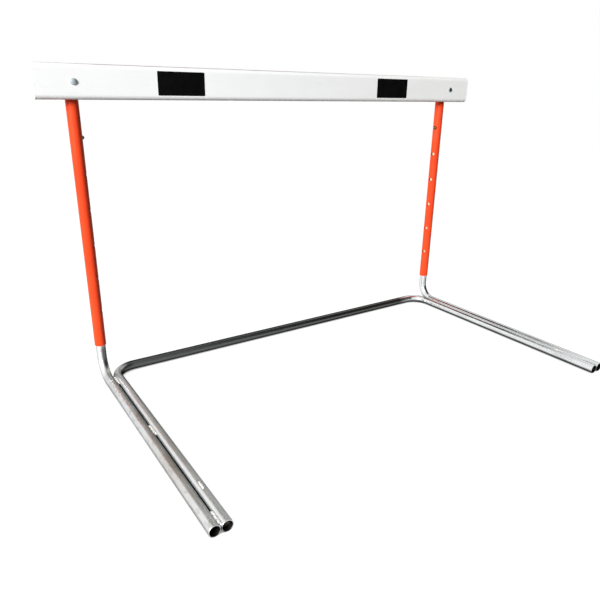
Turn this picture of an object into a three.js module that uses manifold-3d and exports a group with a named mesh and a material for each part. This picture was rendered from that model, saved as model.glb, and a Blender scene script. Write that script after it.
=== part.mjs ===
// A track hurdle: a hollow crossbar bolted to two sleeves that slide over two posts, on a tube base.
// Millimetres. +X runs to the right along the crossbar, the feet point to -Y, +Z is up.

import * as THREE from 'three';
import { mergeVertices } from 'three/addons/utils/BufferGeometryUtils.js';
import Module from 'manifold-3d';

const wasm = await Module();
wasm.setup();

// Crossbar
const boardLength = 1187;
const boardHeight = 66.7;
const boardThickness = 22;
const boardEdgeFlat = 3.2;
const boardWall = 2;
const boardOverhang = 73;
const endCapThickness = 2.5;
const endCapInsertDepth = 12;
const endCapWall = 2;
const panelLength = 106;
const panelThickness = 0.4;
const panelFromPost = 221.2;

// Height setting: the crossbar's top is a whole number of steps above the floor, from the lowest up.
const lowestHeight = 685.8;
const lowestStepCount = 9;
const heightCount = 6;
const sleeveBelowHoles = 82.8;
const sleeveAboveBend = 25.35;

// Posts, feet and base
const tubeDiameter = 21.3;
const tubeWall = 1.6;
const legBendRadius = 46;
const baseBendRadius = 50;
const footLength = 613.5;
const postAboveButton = 45;

// Sleeves
const sleeveWall = 1.4;
const sleeveTopDrop = 3;
const plugFlangeThickness = 2;
const plugInsertDepth = 14;
const plugWall = 2;

// Snap buttons and their springs
const buttonDiameter = 8;
const buttonReach = 3.6;
const buttonTurnDegrees = 16;
const buttonFlangeOverlap = 1.1;
const buttonFlangeThickness = 1.2;
const springWidth = 8;
const springThickness = 0.8;
const springBendRadius = 2.4;
const springBelowButton = 46;
const springAboveButton = 9;

// Bolts, nuts and washers
const boltDiameter = 6.35;
const boltHeadDiameter = 12.7;
const boltHeadHeight = 3.6;
const boltTipLength = 2.5;
const washerDiameter = 16;
const washerThickness = 1.5;
const nutAcrossFlats = 11.1;
const nutThickness = 6;

// Counterweights, each held by a plug weld in a slot on top of its foot
const weightLength = 180;
const weightRecess = 8;
const plugWeldFromFront = 98;
const plugWeldLength = 21;
const plugWeldWidth = 4.6;
const plugWeldHeight = 1.6;
const plugWeldDepth = 10;
const plugSlotInset = 0.9;

// Weld beads
const weldLength = 36;
const weldEndInset = 1.5;
const weldCrown = 1;

// Clearances
const touchGap = 0.3;
const footGap = 0.3;
const panelGap = 0.05;
const sleeveSlack = 0.65;
const sleeveHoleSlack = 0.5;
const postHoleSlack = 0.4;
const boltHoleSlack = 0.325;
const weightClearance = 0.35;
const overrun = 5;

// Shares of the sizes that they follow
const weldRootShare = 0.22;
const weldTopShare = 0.78;
const weldMiddleShare = 0.5;

// Facets
const tubeSides = 24;
const sleeveSides = 32;
const smallSides = 16;
const nutSides = 6;
const bendSteps = 10;
const quarterSteps = 6;

// Worked out from the sizes above
const tubeRadius = tubeDiameter / 2;
const tubeBore = tubeRadius - tubeWall;
const sleeveBore = tubeRadius + sleeveSlack;
const sleeveRadius = sleeveBore + sleeveWall;
const heightHoleDiameter = buttonDiameter + 2 * sleeveHoleSlack;
const postHoleDiameter = buttonDiameter + 2 * postHoleSlack;
const buttonFlangeDiameter = postHoleDiameter + 2 * buttonFlangeOverlap;
const boltHoleDiameter = boltDiameter + 2 * boltHoleSlack;
const nutBoreDiameter = boltDiameter + 2 * touchGap;
const uprightPlace = boardLength / 2 - boardOverhang;
const panelCentre = uprightPlace - panelFromPost;
const innerFootPlace = uprightPlace - tubeDiameter - footGap;
const boardEdgeRadius = (boardThickness - boardEdgeFlat) / 2;
const boardFaceHeight = boardHeight - 2 * boardEdgeRadius;
const boardBack = -sleeveRadius - touchGap;
const boardFront = boardBack - boardThickness;
const boardMiddle = boardBack - boardThickness / 2;
const sleeveBottom = tubeRadius + legBendRadius + sleeveAboveBend;
const heightStep = lowestHeight / lowestStepCount;
const lowestHole = sleeveBottom + sleeveBelowHoles;
const buttonHeight = lowestHole + (heightCount - 1) * heightStep;
const boltHeight = lowestHeight - boardHeight / 2;
const sleeveTop = lowestHeight - sleeveTopDrop - plugFlangeThickness - touchGap;
const sleeveLength = sleeveTop - sleeveBottom;
const buttonTurn = THREE.MathUtils.degToRad(buttonTurnDegrees);
const washerFront = sleeveRadius + touchGap;
const nutFront = washerFront + washerThickness + touchGap;
const boltTip = nutFront + nutThickness + boltTipLength;
const depthMiddle = (boltTip - footLength) / 2;

const sides = [
  { name: 'left', sign: -1 },
  { name: 'right', sign: 1 },
];

// Materials
const materials = {
  galvanised: { color: 0xb9bcbc, roughness: 0.25, metalness: 1 },
  weld: { color: 0x9a9994, roughness: 0.45, metalness: 1 },
  redPaint: { color: 0xe8431f, roughness: 0.35, metalness: 0 },
  whitePlastic: { color: 0xf1f3f0, roughness: 0.4, metalness: 0 },
  blackVinyl: { color: 0x0c0c0d, roughness: 0.5, metalness: 0 },
  blackPlastic: { color: 0x151515, roughness: 0.6, metalness: 0 },
  zincPlate: { color: 0x8f949a, roughness: 0.35, metalness: 1 },
  darkSteel: { color: 0x33302e, roughness: 0.45, metalness: 1 },
  springSteel: { color: 0x6d6a66, roughness: 0.4, metalness: 1 },
};

function named(name, geometry, material) {
  const mesh = new THREE.Mesh(geometry, new THREE.MeshStandardMaterial(materials[material]));
  mesh.name = name;
  return mesh;
}

// Joining and cutting

function solidOf(geometry) {
  const bare = geometry.clone();
  bare.deleteAttribute('normal');
  bare.deleteAttribute('uv');
  const merged = mergeVertices(bare);
  return new wasm.Manifold(new wasm.Mesh({
    numProp: 3,
    vertProperties: new Float32Array(merged.attributes.position.array),
    triVerts: new Uint32Array(merged.index.array),
  }));
}

function geometryOf(solid) {
  const mesh = solid.getMesh();
  const geometry = new THREE.BufferGeometry();
  geometry.setAttribute('position', new THREE.BufferAttribute(mesh.vertProperties, 3));
  geometry.setIndex(new THREE.BufferAttribute(mesh.triVerts, 1));
  return geometry;
}

function cut(geometry, cutters) {
  const start = solidOf(geometry);
  return geometryOf(cutters.reduce((solid, cutter) => solid.subtract(solidOf(cutter)), start));
}

function join(geometry, other) {
  return geometryOf(solidOf(geometry).add(solidOf(other)));
}

// Outlines

function circlePoints(radius, count) {
  return Array.from({ length: count }, (_, index) => {
    const angle = 2 * Math.PI * index / count;
    return new THREE.Vector2(radius * Math.cos(angle), radius * Math.sin(angle));
  });
}

function arcPoints(centre, radius, startAngle, endAngle, steps) {
  return Array.from({ length: steps + 1 }, (_, index) => {
    const angle = THREE.MathUtils.lerp(startAngle, endAngle, index / steps);
    const spoke = new THREE.Vector2(Math.cos(angle), Math.sin(angle));
    return spoke.multiplyScalar(radius).add(centre);
  });
}

function outline(points, holePoints) {
  const shape = new THREE.Shape(points);
  if (holePoints) {
    shape.holes.push(new THREE.Path(holePoints));
  }
  return shape;
}

// The board's section, shrunk by an inset: width along the first axis, height along the second.
function boardOutline(inset) {
  const radius = boardEdgeRadius - inset;
  const across = boardThickness / 2 - boardEdgeRadius;
  const up = boardHeight / 2 - boardEdgeRadius;
  const corners = [[across, up], [-across, up], [-across, -up], [across, -up]];
  return corners.flatMap(([x, y], index) => {
    const start = index * Math.PI / 2;
    return arcPoints(new THREE.Vector2(x, y), radius, start, start + Math.PI / 2, quarterSteps);
  });
}

// Straight and bent bars

function bar(shape, length) {
  return new THREE.ExtrudeGeometry(shape, { depth: length, bevelEnabled: false });
}

function tube(outerRadius, innerRadius, length, count) {
  return bar(outline(circlePoints(outerRadius, count), circlePoints(innerRadius, count)), length);
}

// A bar's own Z axis is turned to X, to the rear or to the front, with the section kept upright.
const xAxis = new THREE.Vector3(1, 0, 0);
const yAxis = new THREE.Vector3(0, 1, 0);
const zAxis = new THREE.Vector3(0, 0, 1);
const alongX = new THREE.Matrix4().makeBasis(yAxis, zAxis, xAxis);
const towardRear = new THREE.Matrix4().makeBasis(zAxis, xAxis, yAxis);
const towardFront = new THREE.Matrix4().makeBasis(xAxis, zAxis, yAxis.clone().negate());

// A round rod between two points.
function rod(start, end, radius, count) {
  const geometry = new THREE.CylinderGeometry(radius, radius, start.distanceTo(end), count);
  const direction = end.clone().sub(start).normalize();
  geometry.applyQuaternion(new THREE.Quaternion().setFromUnitVectors(yAxis, direction));
  const middle = start.clone().lerp(end, 1 / 2);
  return geometry.translate(middle.x, middle.y, middle.z);
}

// A path through stations, so that a bent tube has a ring only where its direction changes.
class StationPath extends THREE.Curve {
  constructor(stations) {
    super();
    this.stations = stations;
  }

  getPoint(share, target = new THREE.Vector3()) {
    const last = this.stations.length - 1;
    const index = Math.min(Math.floor(share * last), last - 1);
    return target.lerpVectors(this.stations[index], this.stations[index + 1], share * last - index);
  }

  getUtoTmapping(share) {
    return share;
  }
}

function bentTube(stations) {
  const section = outline(circlePoints(tubeRadius, tubeSides), circlePoints(tubeBore, tubeSides));
  return new THREE.ExtrudeGeometry(section, {
    steps: stations.length - 1,
    extrudePath: new StationPath(stations),
  });
}

// Stations round a quarter bend, from the start spoke to the end spoke.
function bendStations(centre, startSpoke, endSpoke, radius) {
  return Array.from({ length: bendSteps + 1 }, (_, index) => {
    const angle = Math.PI / 2 * index / bendSteps;
    const spoke = startSpoke.clone().multiplyScalar(Math.cos(angle));
    spoke.addScaledVector(endSpoke, Math.sin(angle));
    return spoke.multiplyScalar(radius).add(centre);
  });
}

// Base

function inwardOf(sign) {
  return new THREE.Vector3(-sign * Math.cos(buttonTurn), -Math.sin(buttonTurn), 0);
}

function legTube(sign) {
  const centre = new THREE.Vector3(0, -legBendRadius, tubeRadius + legBendRadius);
  const leg = bentTube([
    new THREE.Vector3(0, 0, buttonHeight + postAboveButton),
    ...bendStations(centre, yAxis, zAxis.clone().negate(), legBendRadius),
    new THREE.Vector3(0, -footLength, tubeRadius),
  ]);
  const hole = rod(
    new THREE.Vector3(0, 0, buttonHeight),
    inwardOf(sign).multiplyScalar(tubeRadius + overrun).setZ(buttonHeight),
    postHoleDiameter / 2,
    smallSides,
  );
  return cut(leg, [hole]);
}

// An upright prism over a slot that runs along the foot, from its own middle.
function slotPrism(length, width, bottom, top) {
  const end = (length - width) / 2;
  const shape = outline([
    ...arcPoints(new THREE.Vector2(0, end), width / 2, 0, Math.PI, quarterSteps),
    ...arcPoints(new THREE.Vector2(0, -end), width / 2, Math.PI, 2 * Math.PI, quarterSteps),
  ]);
  return bar(shape, top - bottom).translate(0, plugWeldFromFront - footLength, bottom);
}

function weightSlot() {
  const length = plugWeldLength - 2 * plugSlotInset;
  const width = plugWeldWidth - 2 * plugSlotInset;
  return slotPrism(length, width, tubeDiameter - plugWeldDepth - touchGap, tubeDiameter + overrun);
}

function baseTube() {
  const cornerPlace = innerFootPlace - baseBendRadius;
  const leftCentre = new THREE.Vector3(-cornerPlace, -baseBendRadius, tubeRadius);
  const rightCentre = new THREE.Vector3(cornerPlace, -baseBendRadius, tubeRadius);
  const base = bentTube([
    new THREE.Vector3(-innerFootPlace, -footLength, tubeRadius),
    ...bendStations(leftCentre, xAxis.clone().negate(), yAxis, baseBendRadius),
    ...bendStations(rightCentre, yAxis, xAxis, baseBendRadius),
    new THREE.Vector3(innerFootPlace, -footLength, tubeRadius),
  ]);
  return cut(base, sides.map(({ sign }) => weightSlot().translate(sign * innerFootPlace, 0, 0)));
}

// The bead fills the groove between two round tubes that lie side by side.
function weldBead() {
  const centrePlace = (tubeDiameter + footGap) / 2;
  const clearRadius = tubeRadius + touchGap;
  const spokeAngle = (heightShare) => Math.asin(heightShare * tubeRadius / clearRadius);
  const rootAngle = spokeAngle(weldRootShare);
  const topAngle = spokeAngle(weldTopShare);
  const rightWall = arcPoints(
    new THREE.Vector2(centrePlace, 0),
    clearRadius,
    Math.PI - rootAngle,
    Math.PI - topAngle,
    quarterSteps,
  );
  const leftWall = arcPoints(
    new THREE.Vector2(-centrePlace, 0),
    clearRadius,
    topAngle,
    rootAngle,
    quarterSteps,
  );
  const crown = new THREE.Vector2(0, weldTopShare * tubeRadius + weldCrown);
  return bar(outline([...rightWall, crown, ...leftWall]), weldLength).applyMatrix4(towardFront);
}

function counterweight() {
  const radius = tubeBore - weightClearance;
  const start = weightRecess - footLength;
  const weight = rod(
    new THREE.Vector3(0, start, tubeRadius),
    new THREE.Vector3(0, start + weightLength, tubeRadius),
    radius,
    tubeSides,
  );
  return cut(weight, [weightSlot()]);
}

// A crowned bead over the slot, with a stem that goes down through the tube into the weight.
function plugWeld() {
  const seat = tubeDiameter + touchGap;
  const radius = plugWeldWidth / 2;
  const straight = plugWeldLength - plugWeldWidth;
  const crown = new THREE.CapsuleGeometry(radius, straight, quarterSteps, smallSides);
  crown.scale(1, 1, plugWeldHeight / radius);
  crown.translate(0, plugWeldFromFront - footLength, seat);
  const lowerHalf = slotPrism(
    plugWeldLength + overrun,
    plugWeldWidth + overrun,
    seat - plugWeldHeight - overrun,
    seat,
  );
  const inset = plugSlotInset + touchGap;
  const stem = slotPrism(
    plugWeldLength - 2 * inset,
    plugWeldWidth - 2 * inset,
    tubeDiameter - plugWeldDepth,
    seat + plugWeldHeight / 2,
  );
  return join(cut(crown, [lowerHalf]), stem);
}

// A turned piece about its own Y axis, from a profile of [radius, height] pairs.
function turned(profile, count) {
  return new THREE.LatheGeometry(profile.map(([x, y]) => new THREE.Vector2(x, y)), count);
}

// The points of a low dome, from its rim to the axis.
function domeProfile(radius, height, base) {
  return Array.from({ length: quarterSteps + 1 }, (_, index) => {
    const angle = Math.PI / 2 * index / quarterSteps;
    const across = index === quarterSteps ? 0 : radius * Math.cos(angle);
    return [across, base + height * Math.sin(angle)];
  });
}

// The button's own Y axis is its travel, and its height is counted from the post's axis.
const flangeEdge = Math.sqrt(tubeBore ** 2 - (buttonFlangeDiameter / 2) ** 2);
const flangeOuter = flangeEdge - touchGap;
const flangeInner = flangeOuter - buttonFlangeThickness;

function snapButton() {
  const domeBase = sleeveRadius + buttonReach - buttonDiameter / 2;
  const profile = [
    [0, flangeInner],
    [buttonFlangeDiameter / 2, flangeInner],
    [buttonFlangeDiameter / 2, flangeOuter],
    [buttonDiameter / 2, flangeOuter],
    ...domeProfile(buttonDiameter / 2, buttonDiameter / 2, domeBase),
  ];
  return turned(profile, smallSides);
}

// A V of strip. Its first axis points to the button, its second axis is up, from the bend's centre.
// A leaf's lean is set by its place at the button's height, counted from the post's axis.
function leafLean(place) {
  return Math.asin((place - springBendRadius) / springBelowButton);
}

function leafTop(lean, radius, side) {
  const length = (springBelowButton + springAboveButton) / Math.cos(lean);
  const across = radius * Math.cos(lean) + length * Math.sin(lean);
  const up = length * Math.cos(lean) - radius * Math.sin(lean);
  return new THREE.Vector2(side * across, up);
}

function springStrip() {
  const half = springThickness / 2;
  const frontLimit = flangeInner - half;
  const flangeSlack = touchGap + Math.tan(leafLean(frontLimit)) * buttonFlangeDiameter / 2;
  const frontLean = leafLean(frontLimit - flangeSlack);
  const backLimit = Math.sqrt(tubeBore ** 2 - (springWidth / 2) ** 2) - touchGap - half;
  const backLean = leafLean(backLimit) * springBelowButton / (springBelowButton + springAboveButton);
  const outer = springBendRadius + half;
  const inner = springBendRadius - half;
  const centre = new THREE.Vector2(0, 0);
  const backAngle = Math.PI + backLean;
  const frontAngle = 2 * Math.PI - frontLean;
  const points = [
    leafTop(backLean, outer, -1),
    ...arcPoints(centre, outer, backAngle, frontAngle, 2 * quarterSteps),
    leafTop(frontLean, outer, 1),
    leafTop(frontLean, inner, 1),
    ...arcPoints(centre, inner, frontAngle, backAngle, 2 * quarterSteps),
    leafTop(backLean, inner, -1),
  ];
  return bar(outline(points), springWidth).translate(0, 0, -springWidth / 2);
}

function buildBase() {
  const base = new THREE.Group();
  base.add(named('base_tube', baseTube(), 'galvanised'));

  const weldRearEnds = {
    rear: -baseBendRadius - weldEndInset,
    middle: -weldMiddleShare * footLength + weldLength / 2,
    front: -footLength + weldEndInset + weldLength,
  };

  for (const { name, sign } of sides) {
    const leg = named(`${name}_leg_tube`, legTube(sign), 'galvanised');
    leg.position.x = sign * uprightPlace;
    base.add(leg);

    for (const [place, rearEnd] of Object.entries(weldRearEnds)) {
      const weld = named(`${name}_${place}_weld`, weldBead(), 'weld');
      weld.position.set(sign * (uprightPlace + innerFootPlace) / 2, rearEnd, tubeRadius);
      base.add(weld);
    }

    const weight = named(`${name}_counterweight`, counterweight(), 'darkSteel');
    weight.position.x = sign * innerFootPlace;
    base.add(weight);

    const plug = named(`${name}_weight_weld`, plugWeld(), 'weld');
    plug.position.x = sign * innerFootPlace;
    base.add(plug);

    const button = named(`${name}_snap_button`, snapButton(), 'darkSteel');
    button.quaternion.setFromUnitVectors(yAxis, inwardOf(sign));
    button.position.set(sign * uprightPlace, 0, buttonHeight);
    base.add(button);

    const spring = named(`${name}_button_spring`, springStrip(), 'springSteel');
    const sideways = new THREE.Vector3().crossVectors(inwardOf(sign), zAxis);
    const turn = new THREE.Matrix4().makeBasis(inwardOf(sign), zAxis, sideways);
    spring.quaternion.setFromRotationMatrix(turn);
    spring.position.set(sign * uprightPlace, 0, buttonHeight - springBelowButton);
    base.add(spring);
  }
  return base;
}

// Gate

function sleeveTube(sign) {
  const sleeve = tube(sleeveRadius, sleeveBore, sleeveLength, sleeveSides);
  sleeve.translate(0, 0, sleeveBottom);
  const heightHoles = Array.from({ length: heightCount }, (_, index) => {
    const height = buttonHeight - index * heightStep;
    const outside = inwardOf(sign).multiplyScalar(sleeveRadius + overrun).setZ(height);
    return rod(new THREE.Vector3(0, 0, height), outside, heightHoleDiameter / 2, smallSides);
  });
  return cut(sleeve, [...heightHoles, boltCutter()]);
}

function boltCutter() {
  return rod(
    new THREE.Vector3(0, boardFront - overrun, boltHeight),
    new THREE.Vector3(0, boltTip + overrun, boltHeight),
    boltHoleDiameter / 2,
    smallSides,
  );
}

function crossbar() {
  const length = boardLength - 2 * (endCapThickness + touchGap);
  const board = bar(outline(boardOutline(0), boardOutline(boardWall)), length);
  board.applyMatrix4(alongX).translate(-length / 2, boardMiddle, boltHeight);
  return cut(board, sides.map(({ sign }) => boltCutter().translate(sign * uprightPlace, 0, 0)));
}

// A cap for the board's right end, counted from its outer face, with an open insert.
function endCap() {
  const insertInset = boardWall + touchGap;
  const flange = bar(outline(boardOutline(0)), endCapThickness);
  const insertOutline = outline(boardOutline(insertInset), boardOutline(insertInset + endCapWall));
  const insert = bar(insertOutline, endCapInsertDepth + endCapThickness / 2);
  insert.translate(0, 0, -endCapInsertDepth);
  return join(flange, insert).applyMatrix4(alongX);
}

function sleevePlug() {
  const insertRadius = sleeveBore - touchGap;
  const profile = [
    [insertRadius - plugWall, -plugInsertDepth],
    [insertRadius, -plugInsertDepth],
    [insertRadius, touchGap],
    [sleeveRadius, touchGap],
    [sleeveRadius, touchGap + plugFlangeThickness],
    [0, touchGap + plugFlangeThickness],
    [0, touchGap],
    [insertRadius - plugWall, touchGap],
    [insertRadius - plugWall, -plugInsertDepth],
  ];
  return turned(profile, tubeSides).rotateX(Math.PI / 2);
}

function bolt() {
  const seat = boardFront - touchGap;
  const head = domeProfile(boltHeadDiameter / 2, boltHeadHeight, 0);
  const profile = [
    ...head.reverse().map(([x, y]) => [x, seat - y]),
    [boltDiameter / 2, seat],
    [boltDiameter / 2, boltTip],
    [0, boltTip],
  ];
  return turned(profile, smallSides);
}

function washer() {
  return tube(washerDiameter / 2, boltHoleDiameter / 2, washerThickness, smallSides)
    .applyMatrix4(towardRear);
}

function nut() {
  const hexagon = circlePoints(nutAcrossFlats / 2 / Math.cos(Math.PI / nutSides), nutSides);
  const shape = outline(hexagon, circlePoints(nutBoreDiameter / 2, smallSides));
  return bar(shape, nutThickness).applyMatrix4(towardRear);
}

function buildGate() {
  const gate = new THREE.Group();
  gate.add(named('crossbar', crossbar(), 'whitePlastic'));

  for (const { name, sign } of sides) {
    const cap = named(`${name}_end_cap`, endCap(), 'whitePlastic');
    const innerFace = boardLength / 2 - endCapThickness;
    cap.position.set(sign * innerFace, boardMiddle, boltHeight);
    cap.rotation.z = sign > 0 ? 0 : Math.PI;
    gate.add(cap);

    const panelShape = new THREE.BoxGeometry(panelLength, panelThickness, boardFaceHeight);
    const panel = named(`${name}_black_panel`, panelShape, 'blackVinyl');
    panel.position.set(sign * panelCentre, boardFront - panelGap - panelThickness / 2, boltHeight);
    gate.add(panel);

    const sleeve = named(`${name}_sleeve`, sleeveTube(sign), 'redPaint');
    sleeve.position.x = sign * uprightPlace;
    gate.add(sleeve);

    const plug = named(`${name}_sleeve_plug`, sleevePlug(), 'blackPlastic');
    plug.position.set(sign * uprightPlace, 0, sleeveTop);
    gate.add(plug);

    const screw = named(`${name}_bolt`, bolt(), 'zincPlate');
    screw.position.set(sign * uprightPlace, 0, boltHeight);
    gate.add(screw);

    const ring = named(`${name}_washer`, washer(), 'zincPlate');
    ring.position.set(sign * uprightPlace, washerFront, boltHeight);
    gate.add(ring);

    const hexNut = named(`${name}_nut`, nut(), 'zincPlate');
    hexNut.position.set(sign * uprightPlace, nutFront, boltHeight);
    gate.add(hexNut);
  }
  return gate;
}

// The origin is on the floor under the middle of the whole hurdle.
const hurdle = new THREE.Group();
hurdle.add(buildBase());
hurdle.add(buildGate());
hurdle.position.y = -depthMiddle;

export default hurdle;
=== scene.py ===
"""Looks of a track hurdle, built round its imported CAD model. Metres, in the model's own frame."""

import math
from functools import partialmethod

import bmesh
import bpy
from mathutils import Matrix, Vector, noise


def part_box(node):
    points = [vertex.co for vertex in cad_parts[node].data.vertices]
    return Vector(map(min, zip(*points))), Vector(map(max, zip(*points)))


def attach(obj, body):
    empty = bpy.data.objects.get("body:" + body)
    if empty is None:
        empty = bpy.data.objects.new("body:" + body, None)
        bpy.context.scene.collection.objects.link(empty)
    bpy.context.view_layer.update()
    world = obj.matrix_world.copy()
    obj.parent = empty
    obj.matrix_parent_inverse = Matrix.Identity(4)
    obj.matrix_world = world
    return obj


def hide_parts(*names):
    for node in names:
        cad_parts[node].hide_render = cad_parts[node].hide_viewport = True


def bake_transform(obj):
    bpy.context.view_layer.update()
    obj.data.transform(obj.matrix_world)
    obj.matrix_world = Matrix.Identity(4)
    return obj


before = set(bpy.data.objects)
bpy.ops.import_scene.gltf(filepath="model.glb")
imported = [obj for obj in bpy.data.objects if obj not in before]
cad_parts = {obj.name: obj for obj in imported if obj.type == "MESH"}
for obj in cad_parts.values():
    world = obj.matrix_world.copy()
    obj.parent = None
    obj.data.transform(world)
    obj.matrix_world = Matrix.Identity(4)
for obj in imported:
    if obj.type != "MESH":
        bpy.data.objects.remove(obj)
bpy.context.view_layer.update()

MM = 0.001
SIDES = (("left", -1), ("right", 1))

# Tolerances: for comparing lengths, for rounding places, and for cutting and joining meshes
TINY = 1e-9
DIGITS = 7
CUT = 1e-6

# Sizes that the solids' boxes don't give
TUBE_WALL = 1.6 * MM
SLEEVE_WALL = 1.4 * MM
BOARD_WALL = 2 * MM
BOARD_FLAT = 3.2 * MM
LEG_BEND = 46 * MM
BASE_BEND = 50 * MM
HEIGHT_COUNT = 6
HEIGHT_STEP = 76.2 * MM
BUTTON_HOLE = 9 * MM
BUTTON_TURN = math.radians(16)
POST_HOLE = 8.8 * MM
BOLT_HOLE = 7 * MM
SLOT_LENGTH = 19.2 * MM
SLOT_WIDTH = 2.8 * MM
EASE = 0.25 * MM

# Where things are, from the solids
leg_lo, leg_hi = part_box("right_leg_tube")
_, base_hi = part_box("base_tube")
board_lo, board_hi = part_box("crossbar")
sleeve_lo, sleeve_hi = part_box("right_sleeve")
bolt_lo, bolt_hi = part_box("right_bolt")
button_lo, button_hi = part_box("right_snap_button")
TUBE_RADIUS = (leg_hi.x - leg_lo.x) / 2
SLEEVE_RADIUS = (sleeve_hi.x - sleeve_lo.x) / 2
POST_X = (leg_lo.x + leg_hi.x) / 2
POST_Y = leg_hi.y - TUBE_RADIUS
FOOT_X = base_hi.x - TUBE_RADIUS
FRONT_Y = leg_lo.y
BOLT_Z = (bolt_lo.z + bolt_hi.z) / 2
BUTTON_Z = (button_lo.z + button_hi.z) / 2

# Light levels
WORLD_LEVEL = 0.25
FLOOR_COLOUR = (0.12, 0.12, 0.12)
FLOOR_GLOW = 0.975
LIGHT_TARGET = (0, 0, 0.3)
FILL_PLACE, FILL_SIZE, FILL_POWER = (-3.6, 6.0, 3.0), 3.0, 330
KEY_PLACE, KEY_SIZE, KEY_POWER = (-7.9, -4.0, 3.3), 3.2, 1570
SCREENS = (
    # Name, azimuths, elevations, distance, colour
    ("right_screen", (76, 150), (3, 62), 4.0, (0.14, 0.145, 0.14)),
    ("front_screen", (150, 174), (3, 50), 4.0, (0.80, 0.82, 0.85)),
    ("front_right_screen", (104, 150), (5, 36), 1.45, (0.10, 0.10, 0.10)),
    ("right_top_screen", (76, 160), (60, 86), 3.9, (0.16, 0.16, 0.16)),
    ("back_top_screen", (-22, 32), (28, 47), 4.1, (0.38, 0.33, 0.26)),
    ("back_beam", (-32, 48), (47, 63), 4.1, (0.04, 0.04, 0.04)),
    ("back_right_screen", (14, 47), (3, 30), 3.8, (0.34, 0.34, 0.32)),
)


# Shapes

class Tube:
    """The skin of a round tube along a centreline of (point, tangent) stations. Angle 0 is at `side`."""

    turn = 2 * math.pi

    def __init__(self, stations, side, radius):
        self.centres = [Vector(point) for point, _ in stations]
        self.tangents = [Vector(tangent).normalized() for _, tangent in stations]
        self.side = Vector(side).normalized()
        self.radius = radius
        self.lengths = [0.0]
        for start, end in zip(self.centres, self.centres[1:]):
            self.lengths.append(self.lengths[-1] + (end - start).length)

    def place(self, angle, along, depth):
        last = len(self.lengths) - 2
        index = next((i for i in range(last) if along <= self.lengths[i + 1] + TINY), last)
        start, end = self.lengths[index], self.lengths[index + 1]
        share = (along - start) / (end - start)
        centre = self.centres[index].lerp(self.centres[index + 1], share)
        tangent = self.tangents[index].lerp(self.tangents[index + 1], share).normalized()
        across = tangent.cross(self.side)
        return centre + (self.side * math.cos(angle) + across * math.sin(angle)) * (self.radius - depth)

    def shift(self, angle, offset, depth):
        return angle + math.asin(offset / (self.radius - depth))

    def course(self, angle, along, depth):
        radius = self.radius - depth
        return (radius * math.cos(angle), radius * math.sin(angle), along)


class Board:
    """The skin of the hollow board: `along` is its length, and the other place goes round its section."""

    def __init__(self, start, middle, outlines):
        self.start, self.middle = start, Vector(middle)
        self.outer, self.inner = outlines
        count = len(self.outer)
        self.marks = [0.0]
        for index in range(count):
            step = self.outer[(index + 1) % count] - self.outer[index]
            self.marks.append(self.marks[-1] + step.length)
        self.turn = self.marks[-1]

    def place(self, around, along, depth):
        around %= self.turn
        count = len(self.outer)
        index = next(i for i in range(count) if around <= self.marks[i + 1] + TINY)
        share = (around - self.marks[index]) / (self.marks[index + 1] - self.marks[index])
        following = (index + 1) % count
        outer = self.outer[index].lerp(self.outer[following], share)
        inner = self.inner[index].lerp(self.inner[following], share)
        point = outer.lerp(inner, depth / BOARD_WALL)
        return Vector((self.start + along, self.middle.y + point.x, self.middle.z + point.y))

    def shift(self, around, offset, depth):
        return around + offset

    def course(self, around, along, depth):
        return tuple(self.place(around, along, depth))


def circle_outline(radius):
    return lambda turn, grow: ((radius + grow) * math.cos(turn), (radius + grow) * math.sin(turn))


def slot_outline(length, width):
    """A slot along the tube with round ends, as a distance from its middle in each direction."""
    half = (length - width) / 2

    def outline(turn, grow):
        radius = width / 2 + grow
        across, along = math.cos(turn), math.sin(turn)
        if abs(along) * radius < half * abs(across) + TINY:
            scale = radius / max(abs(across), TINY)
        else:
            lean = half * abs(along)
            scale = lean + math.sqrt(max(lean * lean - half * half + radius * radius, 0.0))
        return across * scale, along * scale

    return outline


class Hole:
    """A hole in a skin: its middle, its outline, and the half sizes of the patch of grid round it."""

    def __init__(self, around, along, outline, half_across, half_along, steps=10):
        self.around, self.along, self.outline = around, along, outline
        self.half_across, self.half_along, self.steps = half_across, half_along, steps


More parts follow.
